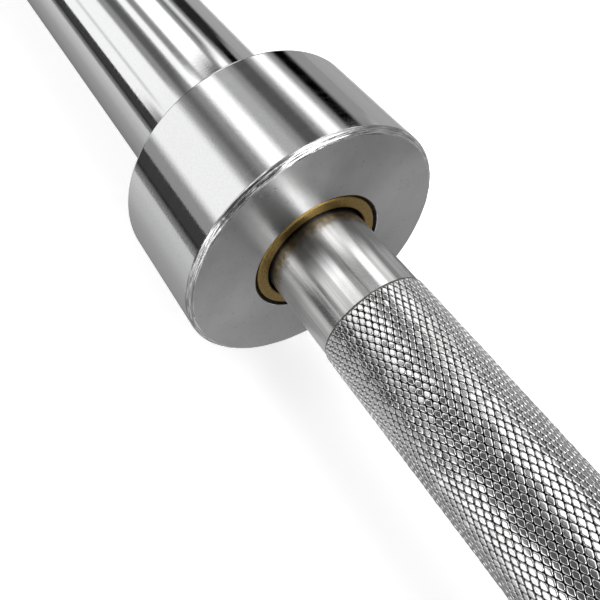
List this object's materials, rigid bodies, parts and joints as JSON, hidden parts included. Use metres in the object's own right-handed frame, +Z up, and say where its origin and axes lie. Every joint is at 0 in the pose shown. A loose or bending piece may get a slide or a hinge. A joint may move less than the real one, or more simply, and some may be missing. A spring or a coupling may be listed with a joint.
{
  "type": "olympic barbell",
  "caption": "Long steel bar with knurled grips and a free-turning chromed sleeve with a stop collar on each end, for lifting weight plates.",
  "frame": {"origin": "middle of the bar, on its axis", "axes": "+X along the bar towards the right sleeve, +Z up; the bar lies on its two collars, whose lowest lines are at z = -38.5 mm"},
  "size_m": [2.2, 0.077, 0.077],
  "materials": {
    "shaft_steel": "satin",
    "sleeve_chrome": "polished",
    "collar_chrome": "polished",
    "bronze": "satin",
    "washer_steel": "satin",
    "spring_steel": "satin",
    "cap_chrome": "satin"
  },
  "bodies": {
    "shaft": {"shaft": "shaft_steel", "left_support_washer": "washer_steel", "left_shaft_retaining_ring": "spring_steel", "right_support_washer": "washer_steel", "right_shaft_retaining_ring": "spring_steel"},
    "left_sleeve": {"left_collar": "collar_chrome", "left_sleeve_tube": "sleeve_chrome", "left_inner_bushing": "bronze", "left_outer_bushing": "bronze", "left_bushing_retaining_ring": "spring_steel", "left_end_cap": "cap_chrome", "left_end_cap_retaining_ring": "spring_steel"},
    "left_thrust_washer": {"left_thrust_washer": "bronze"},
    "right_sleeve": {"right_collar": "collar_chrome", "right_sleeve_tube": "sleeve_chrome", "right_inner_bushing": "bronze", "right_outer_bushing": "bronze", "right_bushing_retaining_ring": "spring_steel", "right_end_cap": "cap_chrome", "right_end_cap_retaining_ring": "spring_steel"},
    "right_thrust_washer": {"right_thrust_washer": "bronze"}
  },
  "joints": [
    {"name": "left_sleeve_spin", "type": "hinge", "parent": "shaft", "child": "left_sleeve", "pos_m": [-0.655, 0, 0], "axis": [1, 0, 0], "continuous": true},
    {"name": "left_thrust_washer_spin", "type": "hinge", "parent": "shaft", "child": "left_thrust_washer", "pos_m": [-1.0828, 0, 0], "axis": [1, 0, 0], "continuous": true},
    {"name": "right_sleeve_spin", "type": "hinge", "parent": "shaft", "child": "right_sleeve", "pos_m": [0.655, 0, 0], "axis": [1, 0, 0], "continuous": true},
    {"name": "right_thrust_washer_spin", "type": "hinge", "parent": "shaft", "child": "right_thrust_washer", "pos_m": [1.0828, 0, 0], "axis": [1, 0, 0], "continuous": true}
  ]
}
